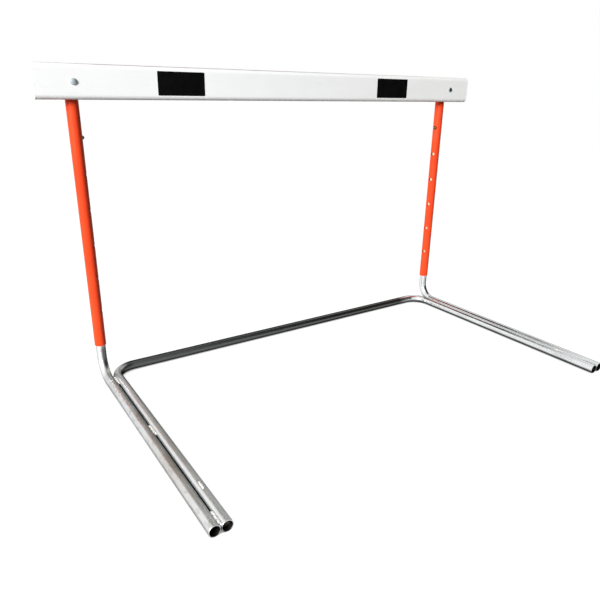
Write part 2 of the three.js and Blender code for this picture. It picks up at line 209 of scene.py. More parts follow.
class Shell:
    """A hollow skin with holes in it, made on a grid of columns and rows."""

    def __init__(self, skin, columns, rows, holes, edge):
        self.skin, self.columns, self.edge = skin, columns, edge
        self.rows = self.grid_rows(rows, holes)
        self.made, self.courses = bmesh.new(), []
        self.patches = [(hole, *self.patch(hole)) for hole in holes]
        self.covered = {
            (i, (first + k) % len(columns))
            for _, low, high, first, width in self.patches
            for i in range(low, high)
            for k in range(width)
        }

    def grid_rows(self, rows, holes):
        """The given rows between the ends, one row beside each end, and the rows of each hole."""
        stops = {round(row, DIGITS) for row in rows[1:-1]}
        stops |= {round(rows[0] + self.edge, DIGITS), round(rows[-1] - self.edge, DIGITS)}
        for hole in holes:
            for step in range(hole.steps + 1):
                offset = hole.half_along * (2 * step / hole.steps - 1)
                stops.add(round(hole.along + offset, DIGITS))
        return sorted(stops)

    def vertex(self, around, along, depth):
        self.courses.append(self.skin.course(around, along, depth))
        return self.made.verts.new(self.skin.place(around, along, depth))

    def wrapped(self, around):
        half = self.skin.turn / 2
        return (around + half) % self.skin.turn - half

    def patch(self, hole):
        """The lowest and highest row, the first column and the width of the patch round a hole."""
        low = self.rows.index(round(hole.along - hole.half_along, DIGITS))
        high = self.rows.index(round(hole.along + hole.half_along, DIGITS))
        reach = self.skin.shift(0, hole.half_across, 0)
        offsets = [self.wrapped(column - hole.around) for column in self.columns]
        first = max((o, j) for j, o in enumerate(offsets) if o <= -reach + TINY)[1]
        final = min((o, j) for j, o in enumerate(offsets) if o >= reach - TINY)[1]
        return low, high, first, (final - first) % len(self.columns)

    def layer(self, depth):
        """The grid at one depth of the wall. Gives the rings at its two ends and round its holes."""
        grid, count = {}, len(self.columns)

        def at(i, j):
            key = (i, j % count)
            if key not in grid:
                grid[key] = self.vertex(self.columns[j % count], self.rows[i], depth)
            return grid[key]

        for i in range(len(self.rows) - 1):
            for j in range(count):
                if (i, j) not in self.covered:
                    self.made.faces.new((at(i, j), at(i, j + 1), at(i + 1, j + 1), at(i + 1, j)))
        rims = [self.narrow(at, depth, *patch) for patch in self.patches]
        ends = [[at(i, j) for j in range(count)] for i in (0, len(self.rows) - 1)]
        return ends, rims

    def narrow(self, at, depth, hole, low, high, first, width):
        """Fills the patch round a hole in two steps, from the grid's edge to the hole's outline."""
        loop = [(low, first + k) for k in range(width)]
        loop += [(i, first + width) for i in range(low, high)]
        loop += [(high, first + width - k) for k in range(width)]
        loop += [(i, first) for i in range(high, low, -1)]
        reach = self.skin.shift(0, hole.half_across, 0)
        spots = [
            (self.wrapped(self.columns[j % len(self.columns)] - hole.around), self.rows[i] - hole.along)
            for i, j in loop
        ]
        turns = [math.atan2(along / hole.half_along, around / reach) for around, along in spots]
        ring = [at(i, j) for i, j in loop]
        for share in (0.45, 1.0):
            following = []
            for turn, (around, along) in zip(turns, spots):
                across, up = hole.outline(turn, self.edge)
                target = self.skin.shift(0, across, depth)
                following.append(self.vertex(
                    hole.around + around + (target - around) * share,
                    hole.along + along + (up - along) * share,
                    depth,
                ))
            join_rings(self.made, ring, following)
            ring = following
        return hole, turns, ring

    def hole_ring(self, hole, turns, depth):
        ring = []
        for turn in turns:
            across, up = hole.outline(turn, 0.0)
            ring.append(self.vertex(hole.around + self.skin.shift(0, across, depth), hole.along + up, depth))
        return ring


def build_shell(name, skin, columns, rows, wall, holes=(), edge=EASE):
    """A hollow skin with a wall, eased edges and holes, whose walls take a second material."""
    shell = Shell(skin, columns, rows, holes, edge)
    outer_ends, outer_rims = shell.layer(0.0)
    inner_ends, inner_rims = shell.layer(wall)
    depths = (edge, wall - edge)
    for outer, inner, along in zip(outer_ends, inner_ends, (rows[0], rows[-1])):
        eased = [[shell.vertex(column, along, depth) for column in columns] for depth in depths]
        rings = [outer, *eased, inner]
        for near, far in zip(rings, rings[1:]):
            join_rings(shell.made, near, far)
    for (hole, turns, outer), (_, _, inner) in zip(outer_rims, inner_rims):
        rings = [outer, *(shell.hole_ring(hole, turns, depth) for depth in depths), inner]
        for material, near, far in zip((0, 1, 1), rings, rings[1:]):
            join_rings(shell.made, near, far, material)
    return finish_mesh(name, shell.made, shell.courses)


def join_rings(made, near, far, material=0):
    count = len(near)
    for index in range(count):
        following = (index + 1) % count
        face = made.faces.new((near[index], near[following], far[following], far[index]))
        face.material_index = material


def finish_mesh(name, made, courses=None, angle=30, rims=None):
    """Turns a bmesh into an object with smooth faces, sharp edges and its course attribute."""
    made.verts.index_update()
    bmesh.ops.recalc_face_normals(made, faces=made.faces)
    mesh = bpy.data.meshes.new(name)
    made.to_mesh(mesh)
    made.free()
    values = courses or [tuple(vertex.co) for vertex in mesh.vertices]
    attribute = mesh.attributes.new("course", "FLOAT_VECTOR", "POINT")
    attribute.data.foreach_set("vector", [x for value in values for x in value])
    if rims:
        mesh.attributes.new("rim", "FLOAT", "POINT").data.foreach_set("value", rims)
    mesh.polygons.foreach_set("use_smooth", [True] * len(mesh.polygons))
    mesh.set_sharp_from_angle(angle=math.radians(angle))
    piece = bpy.data.objects.new(name, mesh)
    bpy.context.scene.collection.objects.link(piece)
    return piece


def arc(centre, start, end, radius, steps):
    """Stations round a quarter bend, with their tangents."""
    stations = []
    for index in range(steps + 1):
        angle = math.pi / 2 * index / steps
        spoke = Vector(start) * math.cos(angle) + Vector(end) * math.sin(angle)
        tangent = Vector(end) * math.cos(angle) - Vector(start) * math.sin(angle)
        stations.append((Vector(centre) + spoke * radius, tangent))
    return stations


def circle(count, start=0.0):
    return [start + 2 * math.pi * index / count for index in range(count)]


def lathe(name, profile, matrix, steps=48):
    """A turned piece from (radius, height) pairs, about its own Z axis."""
    made = bmesh.new()
    rings = []
    for radius, height in profile:
        turns = circle(steps) if radius > TINY else [0.0]
        rings.append([made.verts.new((radius * math.cos(a), radius * math.sin(a), height)) for a in turns])
    for near, far in zip(rings, rings[1:]):
        for index in range(steps):
            following = (index + 1) % steps
            corners = [near[index % len(near)], near[following % len(near)],
                       far[following % len(far)], far[index % len(far)]]
            unique = list(dict.fromkeys(corners))
            if len(unique) > 2:
                made.faces.new(unique)
    if profile[0][0] > TINY:
        join_rings(made, rings[-1], rings[0])
    bmesh.ops.transform(made, matrix=matrix, verts=made.verts)
    return finish_mesh(name, made)


def along_y(x, y, z):
    """Places a turned piece so that its axis runs back along Y."""
    return Matrix.Translation((x, y, z)) @ Matrix.Rotation(-math.pi / 2, 4, "X")


def dome(radius, height, base, steps=12):
    """Profile points of a low dome, from its rim to the axis."""
    turns = [math.pi / 2 * k / steps for k in range(steps)]
    return [(radius * math.cos(a), base + height * math.sin(a)) for a in turns] + [(0.0, base + height)]


def mirrored(stations, sign):
    return [tuple((sign * x, y, z) for x, y, z in station) for station in stations]


def settle(piece, body, node, slot, *materials):
    for material in materials:
        piece.data.materials.append(material)
    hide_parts(node)
    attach(piece, body)


# Materials

class Nodes:
    """A short way to write a material's nodes. A value is a socket, a number or a colour."""

    def __init__(self, name):
        self.material = bpy.data.materials.new(name)
        self.material.use_nodes = True
        self.tree = self.material.node_tree
        self.shader = self.tree.nodes["Principled BSDF"]

    def put(self, value, socket):
        """Links a socket to another one, or sets it to a number, a place or a colour."""
        if isinstance(value, bpy.types.NodeSocket):
            self.tree.links.new(value, socket)
        elif isinstance(value, tuple) and len(socket.default_value) == 4:
            socket.default_value = (*value, 1)
        else:
            socket.default_value = value

    def add(self, kind, **values):
        """A new node. A value named as one of its inputs goes there, and any other is a setting."""
        node = self.tree.nodes.new(kind)
        for key, value in values.items():
            if key in node.inputs:
                self.put(value, node.inputs[key])
            else:
                setattr(node, key, value)
        return node

    def course(self, scale=(1, 1, 1)):
        """The place on the piece's own skin, so that marks keep their place on it."""
        place = self.add("ShaderNodeAttribute", attribute_name="course")
        return self.add("ShaderNodeMapping", Vector=place.outputs["Vector"], Scale=scale).outputs["Vector"]

    def noise(self, scale, detail, stretch=(1, 1, 1)):
        made = self.add("ShaderNodeTexNoise", Vector=self.course(stretch), Scale=scale, Detail=detail,
                        Roughness=0.55)
        return made.outputs["Fac"]

    def place(self, output="Object"):
        """X, Y and Z of the place at rest, or of the surface's normal."""
        coordinates = self.add("ShaderNodeTexCoord").outputs[output]
        return self.add("ShaderNodeSeparateXYZ", Vector=coordinates).outputs

    def join(self, **parts):
        return self.add("ShaderNodeCombineXYZ", **parts).outputs["Vector"]

    def distance(self, vector, point=(0, 0, 0)):
        made = self.add("ShaderNodeVectorMath", operation="DISTANCE")
        self.put(vector, made.inputs[0])
        self.put(point, made.inputs[1])
        return made.outputs["Value"]

    def span(self, value, low, high, start=0.0, end=1.0):
        """Goes from low to high as the value goes from start to end, and stays there beyond."""
        limits = {"From Min": start, "From Max": end, "To Min": low, "To Max": high}
        return self.add("ShaderNodeMapRange", Value=value, **limits).outputs["Result"]

    def math(self, operation, first, *others):
        """Applies an operation to the first value and each of the others in turn."""
        for other in others:
            made = self.add("ShaderNodeMath", operation=operation)
            self.put(first, made.inputs[0])
            self.put(other, made.inputs[1])
            first = made.outputs["Value"]
        return first

    times = partialmethod(math, "MULTIPLY")
    plus = partialmethod(math, "ADD")
    minus = partialmethod(math, "SUBTRACT")

    def absolute(self, value):
        return self.math("ABSOLUTE", value, 0.0)

    def mix(self, share, first, second):
        made = self.add("ShaderNodeMix", data_type="RGBA")
        sockets = {socket.name: socket for socket in made.inputs if socket.enabled}
        for key, value in (("Factor", share), ("A", first), ("B", second)):
            self.put(value, sockets[key])
        return next(socket for socket in made.outputs if socket.enabled)

    def cover(self, tone, layers):
        """Lays named layers over a tone, each a share of the surface and a colour."""
        for share, colour in layers.values():
            tone = self.mix(share, tone, colour)
        return tone

    def bump(self, height, strength, distance):
        made = self.add("ShaderNodeBump", Height=height, Strength=strength, Distance=distance)
        self.put(made.outputs["Normal"], self.shader.inputs["Normal"])

    def set(self, **values):
        names = {"base": "Base Color", "rough": "Roughness", "metal": "Metallic",
                 "specular": "Specular IOR Level", "tint": "Specular Tint", "coat": "Coat Weight",
                 "coat_rough": "Coat Roughness", "glow": "Emission Color", "glow_level": "Emission Strength"}
        for key, value in values.items():
            self.put(value, self.shader.inputs[names[key]])
        return self.material


def near_holes(n, aside, up, inner, outer):
    """1 near each height hole, on the holes' side of a post, falling to 0 between two radii."""
    spot = n.place()
    out, back = n.minus(n.absolute(spot["X"]), POST_X), n.minus(spot["Y"], POST_Y)
    cosine, sine = math.cos(BUTTON_TURN), math.sin(BUTTON_TURN)
    beside = n.minus(n.times(back, cosine), n.times(out, sine))
    behind = n.plus(n.times(out, cosine), n.times(back, sine))
    reach = HEIGHT_COUNT / 2 * HEIGHT_STEP
    middle = BUTTON_Z + HEIGHT_STEP / 2 - reach
    in_row = n.span(n.absolute(n.minus(spot["Z"], middle)), 1, 0, reach - 1 * MM, reach)
    above = n.math("FLOORED_MODULO", n.minus(spot["Z"], BUTTON_Z - HEIGHT_STEP / 2), HEIGHT_STEP)
    offset = n.join(X=n.minus(beside, aside), Y=n.minus(above, HEIGHT_STEP / 2, up))
    near = n.span(n.distance(offset), 1, 0, inner, outer)
    return n.times(near, in_row, n.span(behind, 1, 0, -6 * MM, -4 * MM))


# Where the tubes' painted shade and painted dark reflections fade, each as two places along X, Y or Z
UNDER_FADE = (2.5 * MM, 7.5 * MM)
GROOVE_SIDE_FADE = (0.9 * MM, 1.2 * MM)
GROOVE_TOP_FADE = (15 * MM, 16.5 * MM)
BAR_LEFT_FADE = (-486 * MM, -462 * MM)
BAR_RIGHT_FADE = (415 * MM, 450 * MM)
BAR_FRONT_FADE = (262 * MM, 282 * MM)
POST_FOOT_FADE = (22 * MM, 36 * MM)
POST_TOP_FADE = (72 * MM, 110 * MM)
LEFT_FEET_FADE = (-490 * MM, -440 * MM)


def tube_painted_shade(n, spot, waver):
    """Painted shade under the feet, a little higher on the right, and painted shade in the groove between
    two feet.
    """
    lift = n.span(spot["X"], 0, 4 * MM, -100 * MM, 100 * MM)
    under = n.span(n.minus(n.plus(spot["Z"], waver), lift), 1, 0, *UNDER_FADE)
    beside = n.absolute(n.minus(n.absolute(spot["X"]), (FOOT_X + POST_X) / 2))
    groove = n.times(n.span(beside, 1, 0, *GROOVE_SIDE_FADE), n.span(spot["Z"], 1, 0, *GROOVE_TOP_FADE))
    return under, groove


def tube_painted_reflections(n, spot, patches, waver):
    """Painted dark reflections on the rear bar, inside its left bend, and on the right side of posts and
    left feet.
    """
    along = n.plus(spot["X"], n.span(patches, -12 * MM, 12 * MM))
    bar = n.times(n.span(along, 0, 1, *BAR_LEFT_FADE), n.span(along, 1, 0, *BAR_RIGHT_FADE),
                  n.span(n.plus(spot["Y"], waver), 0, 1, *BAR_FRONT_FADE))
    bend_centre = (BASE_BEND - FOOT_X, POST_Y - BASE_BEND, 0)
    from_centre = n.plus(n.distance(n.join(X=spot["X"], Y=spot["Y"]), bend_centre), waver)
    bend = n.span(from_centre, 1, 0, BASE_BEND - 8 * MM, BASE_BEND - 3 * MM)
    facing = n.place("Normal")["X"]
    post = n.times(n.span(facing, 0, 1, -0.42, 0.1), n.span(spot["Z"], 0, 1, *POST_FOOT_FADE),
                   n.span(n.plus(spot["Z"], waver), 1, 0, *POST_TOP_FADE))
    left_feet = n.times(n.span(facing, 0, 0.26, -0.05, 0.4), n.span(spot["X"], 1, 0, *LEFT_FEET_FADE))
    return n.math("MAXIMUM", bar, bend, left_feet, post)


def tube_steel():
    """Bright zinc with fine drawn lines, specks, painted dark reflections, painted shade under the feet, in
    the groove and in the bore, and rust round the height holes.
    """
    n = Nodes("bright_zinc_tube")
    streaks = n.noise(420, 1, (1, 1, 0.008))
    patches = n.noise(60, 3, (1, 1, 0.3))
    waves = n.noise(34, 1, (1, 1, 0.22))
    cast = n.noise(14, 2, (1, 1, 0.25))
    specks = n.noise(190, 3, (1, 1, 0.4))
    spot = n.place()
    waver = n.span(patches, -1.2 * MM, 1.2 * MM)
    # painted shade under the feet and in the groove between two feet
    under, groove = tube_painted_shade(n, spot, waver)
    # painted dark reflections on the rear bar, inside the left bend, and on the right sides of the posts and
    # left feet
    painted_dark_reflection = tube_painted_reflections(n, spot, patches, waver)
    radius = n.distance(n.course((1, 1, 0)))
    # painted shade: the inside of the tubes made near black
    bore = n.span(radius, 1, 0, TUBE_RADIUS - TUBE_WALL, TUBE_RADIUS - 0.5 * TUBE_WALL)
    worn = n.span(spot["X"], 0.8, 0.25, -POST_X + 0.5 * TUBE_RADIUS, -POST_X + TUBE_RADIUS)
    rusty = n.times(near_holes(n, 0.0, 0.0, 4.5 * MM, 7.5 * MM), 0.85)
    tone = n.mix(n.span(patches, 0, 1, 0.35, 0.7), (0.82, 0.845, 0.85), (0.925, 0.955, 0.965))
    tone = n.cover(tone, {
        "brown cast": (n.times(n.span(cast, 0, 1, 0.42, 0.7), worn), (0.60, 0.56, 0.51)),
        "drawn lines": (n.span(streaks, 0, 0.16, 0.45, 0.8), (0.55, 0.55, 0.54)),
        "specks": (n.times(n.span(specks, 0, 0.5, 0.52, 0.66), worn), (0.42, 0.40, 0.36)),
        "rust at the holes": (rusty, (0.93, 0.62, 0.36)),
        # painted dark reflections
        "painted_dark_reflection": (n.span(painted_dark_reflection, 0, 0.95), (0.085, 0.09, 0.087)),
        # painted shade under the feet
        "underside_shade": (n.span(under, 0, 0.88), (0.06, 0.062, 0.06)),
        # painted shade in the groove between two feet
        "painted shade in the groove": (n.span(groove, 0, 0.98), (0.02, 0.022, 0.02)),
        "painted shade in the bore": (n.span(bore, 0, 0.92), (0.045, 0.042, 0.04)),
    })
    left_is_duller = n.span(spot["X"], 0.19, 0, -300 * MM, 300 * MM)
    rough = n.plus(n.span(patches, 0.13, 0.20, 0.3, 0.7), n.plus(left_is_duller, n.span(under, 0, 0.12)))
    n.bump(waves, 0.2, 0.7 * MM)
    return n.set(base=tone, rough=rough, metal=1.0, tint=(0.12, 0.12, 0.12))


def weld_steel():
    """Bright metal in the middle of a bead, going brown and dull at its rim."""
    n = Nodes("weld_bead_steel")
    fine = n.noise(1100, 3)
    wide = n.noise(180, 3)
    rim = n.add("ShaderNodeAttribute", attribute_name="rim").outputs["Fac"]
    burnt = n.span(n.plus(rim, n.span(wide, -0.25, 0.25, 0.3, 0.7)), 0, 1, 0.74, 1.08)
    tone = n.mix(n.span(wide, 0, 1, 0.35, 0.7), (0.80, 0.78, 0.73), (0.95, 0.945, 0.93))
    tone = n.cover(tone, {"burnt rim": (burnt, (0.20, 0.155, 0.11))})
    n.bump(fine, 0.12, 0.15 * MM)
    return n.set(base=tone, rough=n.span(burnt, 0.2, 0.45), metal=0.45)


def red_paint():
    """Powder coat with fine rubbed lines, and painted shade, a dark brown crescent, beside each height hole.
    """
    n = Nodes("orange_red_powder_coat")
    peel = n.noise(620, 2)
    wide = n.noise(22, 3, (1, 1, 0.3))
    rubs = n.noise(800, 2, (1, 1, 0.02))
    # painted shade: a dark brown crescent beside each height hole
    dark_patch = n.times(near_holes(n, 1.2 * MM, -0.4 * MM, 5.0 * MM, 6.1 * MM), 0.9)
    tone = n.mix(n.span(wide, 0, 1, 0.3, 0.7), (0.76, 0.050, 0.012), (0.84, 0.070, 0.018))
    tone = n.cover(tone, {
        "rubbed lines": (n.span(rubs, 0, 0.10, 0.55, 0.8), (0.88, 0.24, 0.12)),
        "painted shade beside the holes": (dark_patch, (0.09, 0.022, 0.010)),
    })
    n.bump(n.plus(peel, n.times(rubs, 0.15)), 0.18, 0.3 * MM)
    return n.set(base=tone, rough=n.span(wide, 0.30, 0.40, 0.3, 0.7), specular=0.12, coat=0.03,
                 coat_rough=0.15)


def white_plastic():
    """Scuffed white plastic with dust and painted shade along its top edge, painted shade along its bottom,
    and painted light on its right half.
    """
    n = Nodes("white_board_plastic")
    lines = n.noise(700, 2, (0.01, 1, 1))
    wide = n.noise(7, 4)
    scuffs = n.noise(90, 5, (0.25, 1, 1))
    spot = n.place()
    height = n.plus(spot["Z"], n.span(scuffs, -0.6 * MM, 0.6 * MM))
    top, bottom = board_hi.z, board_lo.z
    # dust and painted shade along the top edge, strongest left of the middle
    dust_and_top_shade = n.times(n.span(height, 0, 0.95, top - 2.1 * MM, top - 0.9 * MM),
                   n.span(spot["X"], 1, 0.2, 0, board_hi.x),
                   n.span(spot["X"], 0.15, 1, board_lo.x, 0.75 * board_lo.x))
    # painted shade along the bottom edge
    underside_shade = n.span(height, 0.6, 0, bottom + 0.3 * MM, bottom + 1.9 * MM)
    tone = n.mix(n.span(wide, 0, 1, 0.3, 0.7), (0.86, 0.865, 0.86), (0.90, 0.905, 0.905))
    tone = n.cover(tone, {
        "scuffs": (n.span(scuffs, 0, 0.5, 0.62, 0.85), (0.72, 0.72, 0.70)),
        # painted light: the board's right half made lighter
        "painted light on the right half": (n.span(spot["X"], 0, 0.6, 0, board_hi.x), (0.945, 0.95, 0.925)),
        "dust_and_top_shade": (dust_and_top_shade, (0.42, 0.35, 0.345)),
        "underside_shade": (underside_shade, (0.42, 0.36, 0.31)),
    })
    n.bump(n.plus(n.times(lines, 0.5), scuffs), 0.06, 0.4 * MM)
    return n.set(base=tone, rough=n.span(wide, 0.30, 0.42, 0.3, 0.7))


def black_vinyl():
    """Satin black sheet with a fine grain."""
    n = Nodes("satin_black_vinyl")
    grain = n.noise(1500, 3)
    wide = n.noise(40, 3)
    tone = n.mix(n.span(wide, 0, 1, 0.3, 0.7), (0.0015, 0.0015, 0.0015), (0.0035, 0.0035, 0.0038))
    n.bump(grain, 0.12, 0.2 * MM)
    return n.set(base=tone, rough=n.span(wide, 0.42, 0.55, 0.3, 0.7), specular=0.03)


def black_plastic():
    """Moulded black plastic with a matt grain."""
    n = Nodes("moulded_black_plastic")
    grain = n.noise(1800, 4)
    wide = n.noise(120, 2)
    tone = n.mix(n.span(wide, 0, 1, 0.3, 0.7), (0.012, 0.012, 0.012), (0.026, 0.026, 0.027))
    n.bump(grain, 0.25, 0.2 * MM)
    return n.set(base=tone, rough=n.span(grain, 0.45, 0.62))


def zinc_plate():
    """Dull zinc plate, with a dark stain in the middle of the right bolt, washer and nut."""
    n = Nodes("dull_zinc_plate")
    grain = n.noise(1600, 4)
    wide = n.noise(160, 3)
    spot = n.place()
    from_axis = n.distance(n.join(X=spot["X"], Z=spot["Z"]), (POST_X, 0, BOLT_Z))
    tone = n.mix(n.span(wide, 0, 1, 0.35, 0.7), (0.32, 0.365, 0.385), (0.46, 0.51, 0.53))
    tone = n.cover(tone, {"dark_patch": (n.span(from_axis, 0.95, 0, 4.2 * MM, 5.6 * MM), (0.02, 0.02, 0.02))})
    n.bump(grain, 0.2, 0.2 * MM)
    return n.set(base=tone, rough=n.span(wide, 0.7, 0.82, 0.3, 0.7), metal=0.9)


def dark_steel():
    """Steel gone brown and dark. On the walls of the sleeves' holes it is painted shade."""
    n = Nodes("dark_oxidised_steel_and_hole_wall_shade")
    grain = n.noise(1200, 5)
    wide = n.noise(260, 4)
    tone = n.mix(n.span(wide, 0, 1, 0.4, 0.7), (0.06, 0.052, 0.046), (0.19, 0.155, 0.12))
    n.bump(grain, 0.35, 0.3 * MM)
    return n.set(base=tone, rough=n.span(grain, 0.24, 0.42), metal=0.9)


def spring_steel():
    """Oiled steel strip with its grain along it."""
    n = Nodes("oiled_spring_steel")
    grain = n.noise(900, 4, (1, 1, 0.1))
    tone = n.mix(grain, (0.22, 0.21, 0.2), (0.42, 0.4, 0.38))
    n.bump(grain, 0.15, 0.2 * MM)
    return n.set(base=tone, rough=n.span(grain, 0.25, 0.4), metal=1.0)


steel = tube_steel()
weld = weld_steel()
red = red_paint()
white = white_plastic()
vinyl = black_vinyl()
black = black_plastic()
zinc = zinc_plate()
dark = dark_steel()
spring = spring_steel()


# Base

TUBE_COLUMNS = 72
BEND_STEPS = 28
POST_PATCH = 6.2 * MM
SLOT_PATCH = (2.7 * MM, SLOT_LENGTH / 2 + 2 * MM)
SLOT_STEPS = 16


def leg_stations():
    """From the post's top, down and round the bend to the foot's front end."""
    centre = (POST_X, POST_Y - LEG_BEND, TUBE_RADIUS + LEG_BEND)
    top = ((POST_X, POST_Y, leg_hi.z), (0, 0, -1))
    front = ((POST_X, FRONT_Y, TUBE_RADIUS), (0, -1, 0))
    return [top, *arc(centre, (0, 1, 0), (0, 0, -1), LEG_BEND, BEND_STEPS), front]


def base_stations():
    """From the left inner foot's front end, round the rear bar, to the right one's front end."""
    corner = FOOT_X - BASE_BEND
    bend_y = POST_Y - BASE_BEND
    return [
        ((-FOOT_X, FRONT_Y, TUBE_RADIUS), (0, 1, 0)),
        *arc((-corner, bend_y, TUBE_RADIUS), (-1, 0, 0), (0, 1, 0), BASE_BEND, BEND_STEPS),
        *arc((corner, bend_y, TUBE_RADIUS), (0, 1, 0), (1, 0, 0), BASE_BEND, BEND_STEPS),
        ((FOOT_X, FRONT_Y, TUBE_RADIUS), (0, -1, 0)),
    ]


def facing(skin, direction):
    """The angle round a straight start of a tube at which its skin faces a direction."""
    across = skin.tangents[0].cross(skin.side)
    direction = Vector(direction)
    return math.atan2(direction.dot(across), direction.dot(skin.side))


def button_axis(sign):
    """The way a snap button stands out of its post. The height holes face the same way."""
    return Vector((-sign * math.cos(BUTTON_TURN), -math.sin(BUTTON_TURN), 0))


for name, sign in SIDES:
    skin = Tube(mirrored(leg_stations(), sign), (1, 0, 0), TUBE_RADIUS)
    start = facing(skin, button_axis(sign))
    hole = Hole(start, leg_hi.z - BUTTON_Z, circle_outline(POST_HOLE / 2), POST_PATCH, POST_PATCH)
    leg = build_shell(f"{name}_leg_tube_round", skin, circle(TUBE_COLUMNS, start), skin.lengths,
                      TUBE_WALL, [hole])
    settle(leg, "base", f"{name}_leg_tube", "galvanised", steel)

skin = Tube(base_stations(), (0, 0, 1), TUBE_RADIUS)
slot_lo, slot_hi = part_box("right_weight_weld")
slot_along = (slot_lo.y + slot_hi.y) / 2 - FRONT_Y
slots = [
    Hole(0.0, place, slot_outline(SLOT_LENGTH, SLOT_WIDTH), *SLOT_PATCH, SLOT_STEPS)
    for place in (slot_along, skin.lengths[-1] - slot_along)
]
base = build_shell("base_tube_round", skin, circle(TUBE_COLUMNS), skin.lengths, TUBE_WALL, slots)
settle(base, "base", "base_tube", "galvanised", steel)


# Welds and counterweights

BEAD_RISE = 0.02 * MM
BEAD_DEPTH = 0.9 * MM
BEAD_COLUMNS = 20


def make_bead(name, rows, spot):
    """A bead from spot(share, across), which gives x, y and the upper and lower z of one place."""
    made = bmesh.new()
    columns = BEAD_COLUMNS
    grid = [[spot(i / rows, 2 * j / columns - 1) for j in range(columns + 1)] for i in range(rows + 1)]
    top = [[made.verts.new((x, y, high)) for x, y, high, _ in line] for line in grid]
    under = [[made.verts.new((x, y, low)) for x, y, _, low in line] for line in grid]
    for i in range(rows):
        for j in range(columns):
            made.faces.new((top[i][j], top[i][j + 1], top[i + 1][j + 1], top[i + 1][j]))
            made.faces.new((under[i][j], under[i + 1][j], under[i + 1][j + 1], under[i][j + 1]))
    rim = [(0, j) for j in range(columns)] + [(i, columns) for i in range(rows)]
    rim += [(rows, j) for j in range(columns, 0, -1)] + [(i, 0) for i in range(rows, 0, -1)]
    join_rings(made, [top[i][j] for i, j in rim], [under[i][j] for i, j in rim])
    rims = [
        max(abs(2 * j / columns - 1), abs(2 * i / rows - 1) ** 12)
        for i in range(rows + 1) for j in range(columns + 1)
    ]
    return finish_mesh(name, made, angle=70, rims=rims * 2)


def weld_bead(node):
    """A bead in the groove between two tubes: three lumps, with the ripples of the pool on them."""
    lo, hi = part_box(node)
    middle, half = (lo.x + hi.x) / 2, (hi.x - lo.x) / 2
    length, crown = hi.y - lo.y, hi.z
    reach = (POST_X - FOOT_X) / 2
    lumps, ripple_length = 3, 2.4 * MM

    def spot(share, across):
        y = lo.y + length * share
        taper = math.sqrt(max(0.0, 1 - (abs(2 * share - 1)) ** 7))
        lump = abs(math.sin(math.pi * lumps * share)) ** 0.7
        sway = noise.noise(Vector((y * 160, middle * 40, 0.5))) * 0.10
        wide = half * (0.74 + 0.18 * lump + sway) * (0.5 + 0.5 * taper)
        x = across * wide
        groove = TUBE_RADIUS + math.sqrt(max(0.0, TUBE_RADIUS ** 2 - (reach - abs(x)) ** 2))
        turn = share * length / ripple_length + 0.5 * across * across
        ripple = 0.5 + 0.5 * math.cos(2 * math.pi * turn)
        height = (crown - groove) * (1 - across * across) * taper
        height *= 0.56 + 0.34 * lump + 0.10 * ripple
        z = min(crown, groove + BEAD_RISE + max(0.0, height))
        return middle + x, y, z, min(z, groove) - BEAD_DEPTH

    return make_bead(f"{node}_bead", 108, spot)


def plug_bead(node):
    """The small bead over a weight's slot, in two lumps."""
    lo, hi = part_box(node)
    middle_x, middle_y = (lo.x + hi.x) / 2, (lo.y + hi.y) / 2
    length, half, crown = hi.y - lo.y, (hi.x - lo.x) / 2, hi.z
    straight, lumps = length / 2 - half, 2

    def spot(share, across):
        y = length * (share - 0.5)
        beyond = max(0.0, abs(y) - straight) / half
        wide = half * math.sqrt(max(0.0004, 1 - beyond * beyond))
        lump = abs(math.sin(math.pi * lumps * share)) ** 0.7
        x = across * wide
        skin_z = TUBE_RADIUS + math.sqrt(TUBE_RADIUS ** 2 - x * x)
        height = (crown - 2 * TUBE_RADIUS) * math.sqrt(max(0.0, 1 - across * across))
        height *= (wide / half) * (0.52 + 0.48 * lump)
        return middle_x + x, middle_y + y, min(crown, skin_z + BEAD_RISE + height), skin_z - BEAD_DEPTH

    return make_bead(f"{node}_bead", 60, spot)


def counterweight(name):
    """A round bar along Y with its two ends eased."""
    lo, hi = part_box(f"{name}_counterweight")
    radius, length, ease = (hi.x - lo.x) / 2, hi.y - lo.y, 0.8 * MM
    profile = [(0, 0), (radius * 0.5, 0), (radius - ease, 0), (radius, ease),
               (radius, length - ease), (radius - ease, length), (0, length)]
    matrix = along_y((lo.x + hi.x) / 2, lo.y, (lo.z + hi.z) / 2)
    return lathe(f"{name}_counterweight_bar", profile, matrix)


for name, sign in SIDES:
    for spot in ("rear", "middle", "front"):
        node = f"{name}_{spot}_weld"
        settle(weld_bead(node), "base", node, "weld", weld)
    node = f"{name}_weight_weld"
    settle(plug_bead(node), "base", node, "weld", weld)
    settle(counterweight(name), "base", f"{name}_counterweight", "dark_steel", dark)


# Springs and snap buttons

SPRING_BEND = 3 * MM
SPRING_SLICES = 18
BUTTON_RADIUS = 4 * MM
BUTTON_TIP = SLEEVE_RADIUS + 3.6 * MM
FLANGE_RADIUS = 5.5 * MM
flange_edge = math.sqrt((TUBE_RADIUS - TUBE_WALL) ** 2 - FLANGE_RADIUS ** 2)
FLANGE_OUTER = flange_edge - 0.3 * MM
FLANGE_INNER = FLANGE_OUTER - 1.2 * MM


def cut_mesh(made, point, normal, **sides):
    return bmesh.ops.bisect_plane(made, geom=[*made.verts, *made.edges, *made.faces], dist=CUT,
                                  plane_co=point, plane_no=normal, **sides)


